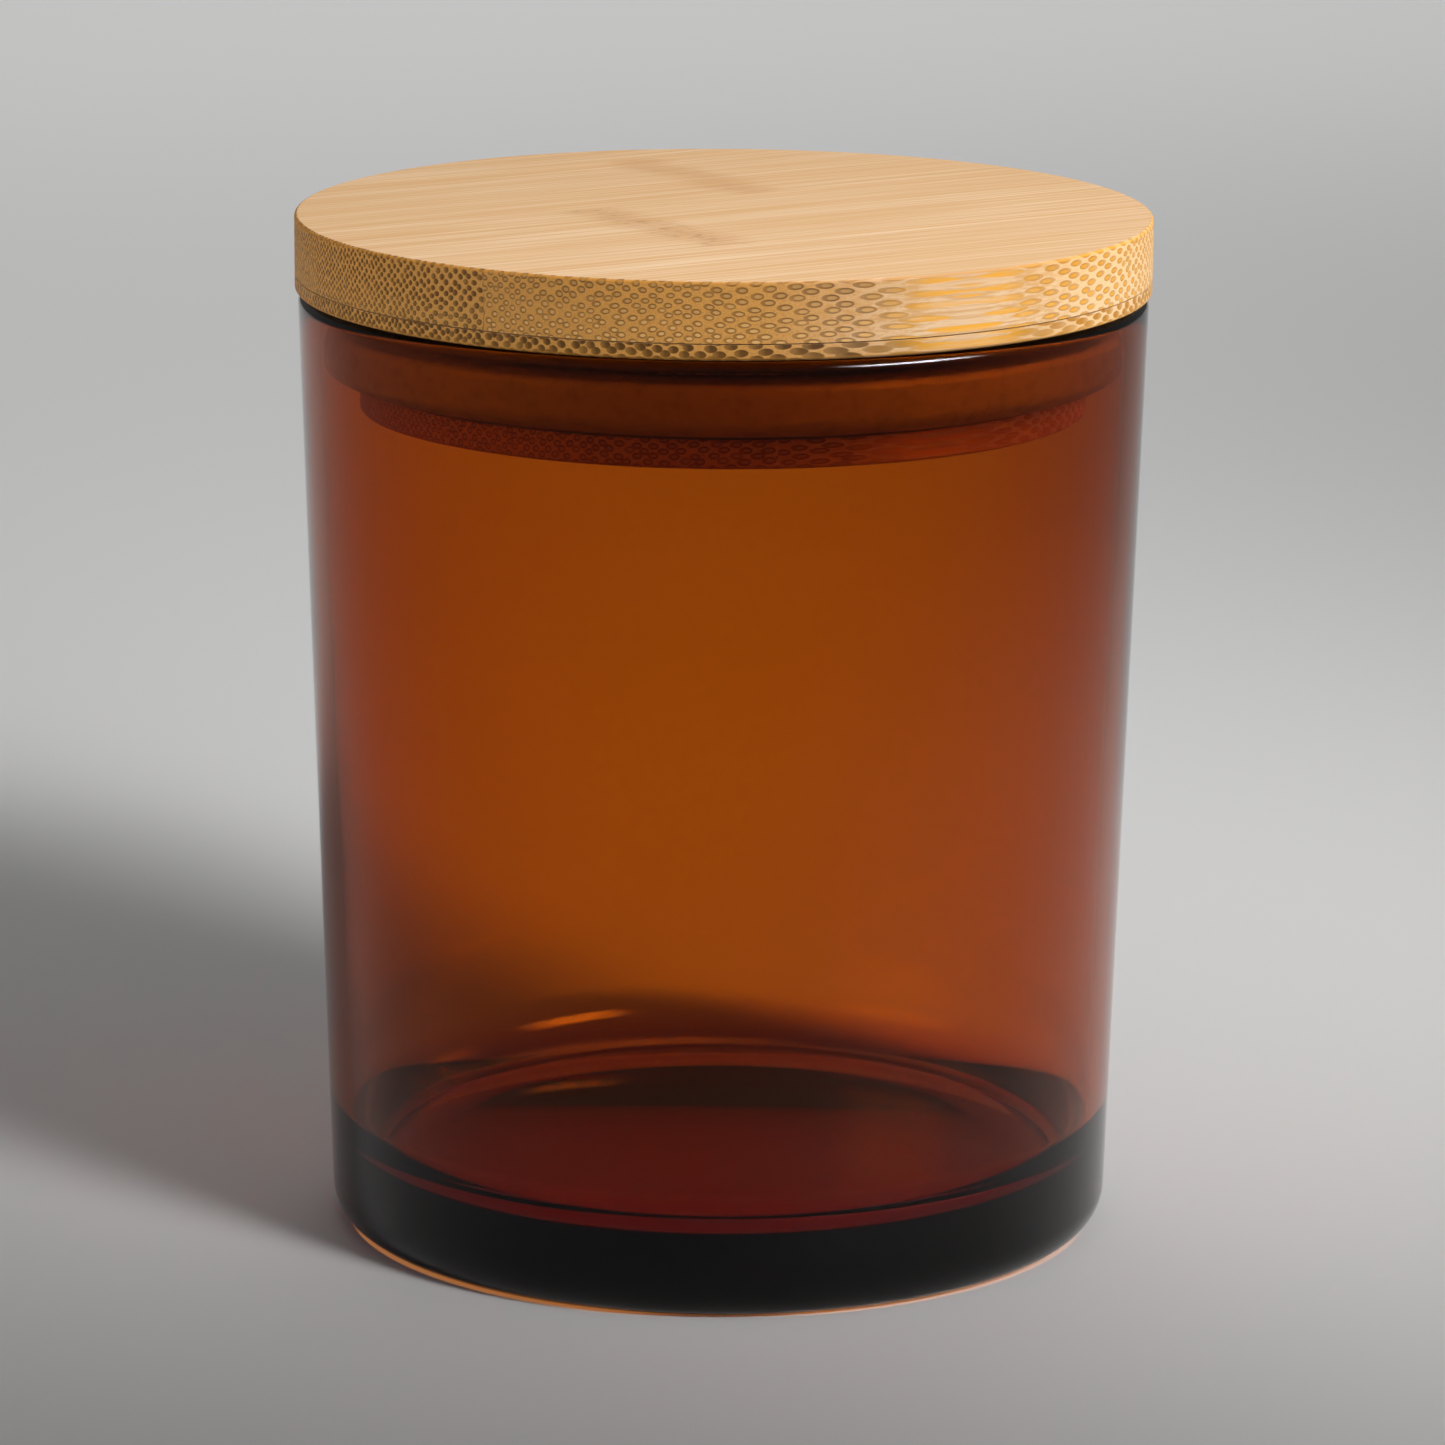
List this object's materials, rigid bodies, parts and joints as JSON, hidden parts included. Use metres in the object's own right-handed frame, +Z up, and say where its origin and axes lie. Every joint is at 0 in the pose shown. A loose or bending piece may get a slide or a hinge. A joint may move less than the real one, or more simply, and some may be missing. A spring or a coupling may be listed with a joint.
{
  "type": "candle jar",
  "caption": "Round amber glass candle jar with a heavy base, closed by a turned bamboo lid whose plug carries a silicone seal ring.",
  "frame": {"origin": "centre of the ring the jar stands on, on the table plane", "axes": "+Z up along the jar's axis, towards the lid; -Y is the front; the lid's fibres run 33 degrees from +X towards +Y"},
  "size_m": [0.0806, 0.0806, 0.0972],
  "materials": {
    "amber_glass": "clear amber glass, fire polished, gloss",
    "bamboo": "sanded bamboo with a thin clear oil, satin",
    "silicone": "translucent milky silicone, satin"
  },
  "bodies": {
    "jar": {"glass_jar": "amber_glass"},
    "seal": {"seal_ring": "silicone"},
    "lid": {"lid_top_strip_1": "bamboo", "lid_top_strip_2": "bamboo", "lid_top_strip_3": "bamboo", "lid_top_strip_4": "bamboo", "lid_middle_strip_1": "bamboo", "lid_middle_strip_2": "bamboo", "lid_middle_strip_3": "bamboo", "lid_middle_strip_4": "bamboo", "lid_bottom_strip_1": "bamboo", "lid_bottom_strip_2": "bamboo", "lid_bottom_strip_3": "bamboo", "lid_bottom_strip_4": "bamboo"}
  },
  "joints": [
    {"name": "lid_lift", "type": "slide", "parent": "jar", "child": "seal", "axis": [0, 0, 1], "range_m": [0, 0.05]},
    {"name": "lid_turn", "type": "hinge", "parent": "seal", "child": "lid", "pos_m": [0, 0, 0.094], "axis": [0, 0, 1], "continuous": true}
  ]
}
